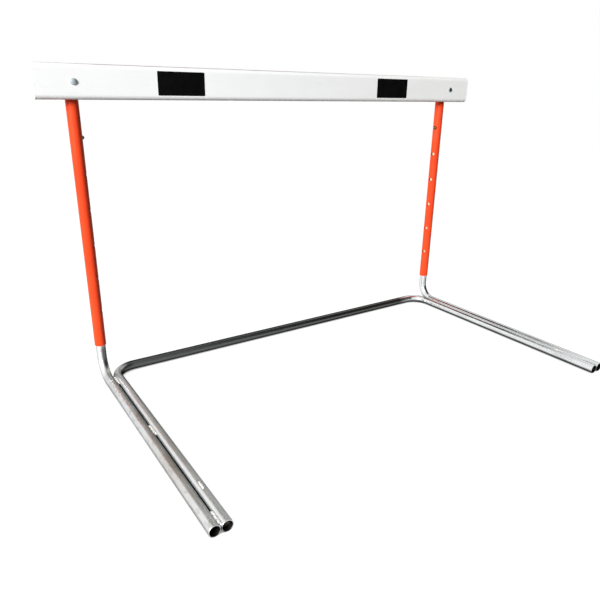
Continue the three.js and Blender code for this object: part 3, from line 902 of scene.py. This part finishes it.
def spring_half(name, node, sign, front):
    """One half of a V spring, cut through its bend, and sliced so that it can flex."""
    made = bmesh.new()
    made.from_mesh(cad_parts[node].data)
    bmesh.ops.remove_doubles(made, verts=made.verts, dist=CUT)
    cut = cut_mesh(made, (sign * POST_X, POST_Y, 0), button_axis(sign),
                   clear_inner=front, clear_outer=not front)
    rim = [part for part in cut["geom_cut"] if isinstance(part, bmesh.types.BMEdge)]
    bmesh.ops.edgeloop_fill(made, edges=rim)
    lo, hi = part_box(node)
    bend = lo.z + SPRING_BEND
    for step in range(1, SPRING_SLICES):
        cut_mesh(made, (0, 0, bend + (hi.z - lo.z - SPRING_BEND) * step / SPRING_SLICES), (0, 0, 1))
    return finish_mesh(name, made)


def snap_button(name, sign):
    """A flange inside the post and a pin with a round end, along the button's own axis."""
    ease, root = 0.2 * MM, 0.3 * MM
    profile = [(0, FLANGE_INNER), (FLANGE_RADIUS - ease, FLANGE_INNER),
               (FLANGE_RADIUS, FLANGE_INNER + ease), (FLANGE_RADIUS, FLANGE_OUTER - ease),
               (FLANGE_RADIUS - ease, FLANGE_OUTER), (BUTTON_RADIUS + root, FLANGE_OUTER),
               (BUTTON_RADIUS, FLANGE_OUTER + root)]
    profile += dome(BUTTON_RADIUS, BUTTON_RADIUS, BUTTON_TIP - BUTTON_RADIUS)
    turn = button_axis(sign).to_track_quat("Z", "Y").to_matrix().to_4x4()
    place = Matrix.Translation((sign * POST_X, POST_Y, BUTTON_Z))
    return lathe(f"{name}_snap_button_dome", profile, place @ turn)


for name, sign in SIDES:
    node = f"{name}_button_spring"
    back = spring_half(f"{name}_spring_bend", node, sign, front=False)
    settle(back, "base", node, "spring_steel", spring)
    leaf = spring_half(f"{name}_spring_leaf", node, sign, front=True)
    leaf.data.materials.append(spring)
    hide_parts(node)
    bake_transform(leaf)

for name, sign in SIDES:
    settle(snap_button(name, sign), f"{name}_button", f"{name}_snap_button", "dark_steel", dark)


# Sleeves

SLEEVE_COLUMNS = 80
SLEEVE_EASE = 0.35 * MM
HEIGHT_PATCH = 6.3 * MM
BOLT_PATCH = 5 * MM


def sleeve_tube(name, sign):
    """A tube with its height holes, and a bolt's hole through its front and its back."""
    lo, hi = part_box(f"{name}_sleeve")
    stations = [((sign * POST_X, POST_Y, z), (0, 0, -1)) for z in (hi.z, lo.z)]
    skin = Tube(stations, (1, 0, 0), SLEEVE_RADIUS)
    start = facing(skin, button_axis(sign))
    holes = [
        Hole(start, hi.z - BUTTON_Z + index * HEIGHT_STEP, circle_outline(BUTTON_HOLE / 2),
             HEIGHT_PATCH, HEIGHT_PATCH, 12)
        for index in range(HEIGHT_COUNT)
    ]
    holes += [
        Hole(facing(skin, (0, side, 0)), hi.z - BOLT_Z, circle_outline(BOLT_HOLE / 2),
             BOLT_PATCH, BOLT_PATCH)
        for side in (-1, 1)
    ]
    return build_shell(f"{name}_sleeve_tube", skin, circle(SLEEVE_COLUMNS, start), skin.lengths,
                       SLEEVE_WALL, holes, edge=SLEEVE_EASE)


def sleeve_cap(name, sign):
    """A hollow plug with a round-edged flange and a shallow dish in its top."""
    lo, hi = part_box(f"{name}_sleeve_plug")
    radius, depth = (hi.x - lo.x) / 2, hi.z - lo.z
    flange, ease, dish, lip = 2 * MM, 1 * MM, 0.35 * MM, 0.2 * MM
    lead = 0.5 * MM
    insert = SLEEVE_RADIUS - SLEEVE_WALL - 0.3 * MM
    bore = insert - 2 * MM
    profile = [(bore, 0), (insert - lead, 0), (insert, lead), (insert, depth - flange),
               (radius - lip, depth - flange), (radius, depth - flange + lip)]
    profile += [(radius - ease + r, height) for r, height in dome(ease, ease, depth - ease, 6)]
    profile += [(radius * 0.55, depth), (radius * 0.5, depth - dish), (0, depth - dish),
                (0, depth - flange), (bore, depth - flange)]
    return lathe(f"{name}_sleeve_cap", profile, Matrix.Translation((sign * POST_X, POST_Y, lo.z)))


for name, sign in SIDES:
    # the sleeves' hole walls take the dark steel as painted shade
    settle(sleeve_tube(name, sign), "gate", f"{name}_sleeve", "red_paint", red, dark)
    settle(sleeve_cap(name, sign), "gate", f"{name}_sleeve_plug", "black_plastic", black)


# Crossbar

BOARD_HEIGHT = board_hi.z - board_lo.z
BOARD_DEPTH = board_hi.y - board_lo.y
BOARD_EDGE = (BOARD_DEPTH - BOARD_FLAT) / 2
BOARD_MIDDLE = (board_lo + board_hi) / 2
BOARD_ROWS = 24
BOARD_PATCH = 6 * MM


def board_outline(inset, steps=16):
    """The board's section, moved in by an inset: four round corners with straight faces between."""
    radius = BOARD_EDGE - inset
    across = BOARD_DEPTH / 2 - BOARD_EDGE
    up = BOARD_HEIGHT / 2 - BOARD_EDGE
    points = []
    for index, (x, y) in enumerate(((across, up), (-across, up), (-across, -up), (across, -up))):
        start = index * math.pi / 2
        for k in range(steps + 1):
            angle = start + math.pi / 2 * k / steps
            points.append(Vector((x + radius * math.cos(angle), y + radius * math.sin(angle))))
    return points


def board_shell():
    """The hollow board, with two bolt holes through its front and its back."""
    skin = Board(board_lo.x, BOARD_MIDDLE, (board_outline(0), board_outline(BOARD_WALL)))
    length = board_hi.x - board_lo.x
    columns = {round(mark, DIGITS) for mark in skin.marks[:-1]}
    faces = [
        (start + end) / 2
        for start, end in zip(skin.marks, skin.marks[1:])
        if end - start > 0.5 * BOARD_HEIGHT
    ]
    close, count, wide = 1.5 * MM, 8, 2.2 * MM
    holes = []
    for middle in faces:
        columns |= {round(middle + step * close, DIGITS) for step in range(-count, count + 1)}
        columns |= {round(middle + side * count * wide, DIGITS) for side in (-1, 1)}
        holes += [
            Hole(middle, sign * POST_X - board_lo.x, circle_outline(BOLT_HOLE / 2),
                 BOARD_PATCH, BOARD_PATCH, 8)
            for sign in (-1, 1)
        ]
    rows = [length * index / BOARD_ROWS for index in range(BOARD_ROWS + 1)]
    return build_shell("crossbar_board", skin, sorted(columns), rows, BOARD_WALL, holes)


def end_cap(name, sign):
    """A cap with an eased edge, and a hollow insert that goes into the board."""
    lo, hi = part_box(f"{name}_end_cap")
    outer = hi.x if sign > 0 else lo.x
    thickness, depth, ease = 2.5 * MM, hi.x - lo.x, 0.6 * MM
    insert = BOARD_WALL + 0.3 * MM
    bore = insert + 2 * MM
    turns = [math.pi / 2 * k / 4 for k in range(5)]
    section = [(ease * (1 - math.sin(turn)), ease * (1 - math.cos(turn))) for turn in turns]
    section += [(0, thickness), (insert, thickness), (insert, depth), (bore, depth), (bore, thickness)]
    made = bmesh.new()
    rings = []
    for inset, inward in section:
        x = outer - sign * inward
        outline = board_outline(inset, 12)
        rings.append([made.verts.new((x, BOARD_MIDDLE.y + p.x, BOARD_MIDDLE.z + p.y)) for p in outline])
    for near, far in zip(rings, rings[1:]):
        join_rings(made, near, far)
    made.faces.new(rings[0])
    made.faces.new(rings[-1])
    return finish_mesh(f"{name}_board_cap", made)


def vinyl_panel(name):
    """A thin rectangle with round corners and a slightly eased front edge."""
    lo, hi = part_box(f"{name}_black_panel")
    corner, edge = 0.8 * MM, 0.12 * MM
    made = bmesh.new()
    bmesh.ops.create_cube(made, size=1)
    for vertex in made.verts:
        vertex.co = [lo[k] + (hi[k] - lo[k]) * (vertex.co[k] + 0.5) for k in range(3)]
    corners = [e for e in made.edges if abs(e.verts[0].co.y - e.verts[1].co.y) > 0.1 * MM]
    bmesh.ops.bevel(made, geom=corners, offset=corner, segments=4, affect="EDGES")
    fronts = [e for e in made.edges if all(v.co.y < lo.y + 0.01 * MM for v in e.verts)]
    bmesh.ops.bevel(made, geom=fronts, offset=edge, segments=2, affect="EDGES")
    return finish_mesh(f"{name}_vinyl_panel", made)


settle(board_shell(), "gate", "crossbar", "white_plastic", white)
for name, sign in SIDES:
    settle(end_cap(name, sign), "gate", f"{name}_end_cap", "white_plastic", white)
    settle(vinyl_panel(name), "gate", f"{name}_black_panel", "black_vinyl", vinyl)


# Bolts, washers and nuts

BOLT_RADIUS = 3.175 * MM


def carriage_bolt(name, sign):
    """A bolt with a round head. Its thread is drawn as ridges that don't climb."""
    lo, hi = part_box(f"{name}_bolt")
    head, length = (hi.x - lo.x) / 2, hi.y - lo.y
    head_height, rim, edge = 3.6 * MM, 0.5 * MM, 0.25 * MM
    thread_length, pitch, thread_depth, point = 14 * MM, 1.27 * MM, 0.55 * MM, 0.7 * MM
    profile = [(r, head_height - h) for r, h in reversed(dome(head, head_height - rim, rim, 14))]
    profile += [(head, head_height - edge), (head - edge, head_height), (BOLT_RADIUS, head_height)]
    thread = length - thread_length
    profile.append((BOLT_RADIUS, thread))
    while thread + pitch < length - 0.6 * MM:
        profile += [(BOLT_RADIUS - thread_depth, thread + pitch * 0.25),
                    (BOLT_RADIUS, thread + pitch * 0.75)]
        thread += pitch
    profile += [(BOLT_RADIUS - point, length), (0, length)]
    return lathe(f"{name}_carriage_bolt", profile, along_y(sign * POST_X, lo.y, BOLT_Z))


def flat_washer(name, sign):
    lo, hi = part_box(f"{name}_washer")
    radius, thickness, bore, edge = (hi.x - lo.x) / 2, hi.y - lo.y, BOLT_HOLE / 2, 0.25 * MM
    profile = [(bore, 0), (radius - edge, 0), (radius, edge), (radius, thickness - edge),
               (radius - edge, thickness), (bore, thickness)]
    return lathe(f"{name}_flat_washer", profile, along_y(sign * POST_X, lo.y, BOLT_Z))


def hex_nut(name):
    """A six-sided nut whose corners are turned off at both ends, with an eased bore."""
    lo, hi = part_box(f"{name}_nut")
    middle = (lo + hi) / 2
    flat = (hi.z - lo.z) / 2 * math.cos(math.pi / 6)
    thickness, bore, ease = hi.y - lo.y, BOLT_RADIUS + 0.3 * MM, 0.4 * MM
    face, slope = flat * 0.97, math.tan(math.radians(28))
    turns, sixth = circle(72), math.pi / 6

    def section(edge):
        """The nut's section where its side is so far out, as radius and height."""
        drop = max(0.0, edge - face) * slope
        return [(bore + ease, 0.0), (face, 0.0), (edge, drop), (edge, thickness - drop),
                (face, thickness), (bore + ease, thickness), (bore, thickness - ease), (bore, ease)]

    made = bmesh.new()
    sections = [section(flat / math.cos(abs(a % (2 * sixth) - sixth))) for a in turns]
    rings = [
        [made.verts.new((radius * math.sin(a + sixth), height, radius * math.cos(a + sixth)))
         for a, (radius, height) in zip(turns, ring)]
        for ring in zip(*sections)
    ]
    for near, far in zip(rings, rings[1:] + rings[:1]):
        join_rings(made, near, far)
    bmesh.ops.translate(made, vec=(middle.x, lo.y, middle.z), verts=made.verts)
    return finish_mesh(f"{name}_hex_nut", made, angle=25)


for name, sign in SIDES:
    settle(carriage_bolt(name, sign), "gate", f"{name}_bolt", "zinc_plate", zinc)
    settle(flat_washer(name, sign), "gate", f"{name}_washer", "zinc_plate", zinc)
    settle(hex_nut(name), "gate", f"{name}_nut", "zinc_plate", zinc)


# Floor, screens, light and camera

def floor_surface():
    """White to the camera and to reflections, shaded close to the object, and dim as a light."""
    n = Nodes("pale_floor")
    contact, wide = (
        n.add("ShaderNodeAmbientOcclusion", Distance=distance, samples=8).outputs["AO"]
        for distance in (26 * MM, 90 * MM)
    )
    rays = n.add("ShaderNodeLightPath").outputs
    reflected = n.math("MAXIMUM", rays["Is Glossy Ray"], rays["Is Transmission Ray"])
    seen = n.times(rays["Is Camera Ray"], n.span(contact, 0.2, 1, 0.1, 0.45))
    glow = n.math("MAXIMUM", seen, n.times(reflected, n.math("POWER", wide, 2.0)))
    return n.set(base=FLOOR_COLOUR, rough=0.95, specular=0.0, glow=(1, 1, 1),
                 glow_level=n.times(glow, FLOOR_GLOW))


floor_mesh = bmesh.new()
bmesh.ops.create_grid(floor_mesh, x_segments=1, y_segments=1, size=60)
bmesh.ops.translate(floor_mesh, vec=(0, 0, -0.3 * MM), verts=floor_mesh.verts)
floor = finish_mesh("floor", floor_mesh)
floor.data.materials.append(floor_surface())


def screen(name, azimuths, elevations, distance, colour):
    """A plain panel round the object. Azimuth 0 is behind it, at +Y, and 90 is to its right."""
    made = bmesh.new()
    rows, columns = 10, 16

    def corner(i, j):
        elevation = math.radians(elevations[0] + (elevations[1] - elevations[0]) * i / rows)
        azimuth = math.radians(azimuths[0] + (azimuths[1] - azimuths[0]) * j / columns)
        level, height = math.cos(elevation) * distance, math.sin(elevation) * distance + 1 * MM
        return made.verts.new((math.sin(azimuth) * level, math.cos(azimuth) * level, height))

    grid = [[corner(i, j) for j in range(columns + 1)] for i in range(rows + 1)]
    for i in range(rows):
        for j in range(columns):
            made.faces.new((grid[i][j], grid[i][j + 1], grid[i + 1][j + 1], grid[i + 1][j]))
    panel = finish_mesh(name, made)
    panel.data.materials.append(Nodes(f"{name}_cloth").set(base=colour, rough=1.0, specular=0.0))
    panel.visible_camera = False


for settings in SCREENS:
    screen(*settings)


class WorldNodes(Nodes):
    """The same short way to write the world's nodes."""

    def __init__(self, world):
        self.tree = world.node_tree


world = bpy.data.worlds.new("studio")
bpy.context.scene.world = world
world.use_nodes = True
n = WorldNodes(world)
background = n.tree.nodes["Background"]
rays = n.add("ShaderNodeLightPath").outputs
seen = n.math("MAXIMUM", rays["Is Camera Ray"], rays["Is Glossy Ray"], rays["Is Transmission Ray"])
n.put((1, 1, 1), background.inputs["Color"])
n.put(n.span(seen, WORLD_LEVEL, 1.0), background.inputs["Strength"])


def softbox(name, place, size, power):
    data = bpy.data.lights.new(name, "AREA")
    data.shape, data.size, data.energy = "SQUARE", size, power
    lamp = bpy.data.objects.new(name, data)
    lamp.location = place
    lamp.rotation_mode = "QUATERNION"
    lamp.rotation_quaternion = (Vector(LIGHT_TARGET) - Vector(place)).to_track_quat("-Z", "Y")
    bpy.context.scene.collection.objects.link(lamp)
    return lamp


softbox("key_softbox", KEY_PLACE, KEY_SIZE, KEY_POWER)
fill = softbox("back_fill", FILL_PLACE, FILL_SIZE, FILL_POWER)
fill.visible_glossy = False

CAMERA_PLACE = Vector((-0.792880, -0.953785, 0.638118))
CAMERA_YAW, CAMERA_PITCH, CAMERA_ROLL = (math.radians(a) for a in (33.543, 20.221, 0.867))
SENSOR, FOCAL_SHARE = 36.0, 562.317 / 600

forward = Vector((math.sin(CAMERA_YAW) * math.cos(CAMERA_PITCH),
                  math.cos(CAMERA_YAW) * math.cos(CAMERA_PITCH), -math.sin(CAMERA_PITCH)))
level = Vector((math.cos(CAMERA_YAW), -math.sin(CAMERA_YAW), 0))
above = level.cross(forward)
right = level * math.cos(CAMERA_ROLL) + above * math.sin(CAMERA_ROLL)
up = above * math.cos(CAMERA_ROLL) - level * math.sin(CAMERA_ROLL)

camera_data = bpy.data.cameras.new("camera")
camera_data.sensor_width = SENSOR
camera_data.lens = SENSOR * FOCAL_SHARE
camera_data.clip_start, camera_data.clip_end = 0.05, 100
camera = bpy.data.objects.new("camera", camera_data)
bpy.context.scene.collection.objects.link(camera)
rotation = Matrix((right, up, -forward)).transposed()
camera.matrix_world = Matrix.Translation(CAMERA_PLACE) @ rotation.to_4x4()
bpy.context.scene.camera = camera
bpy.context.scene.view_settings.view_transform = "Standard"
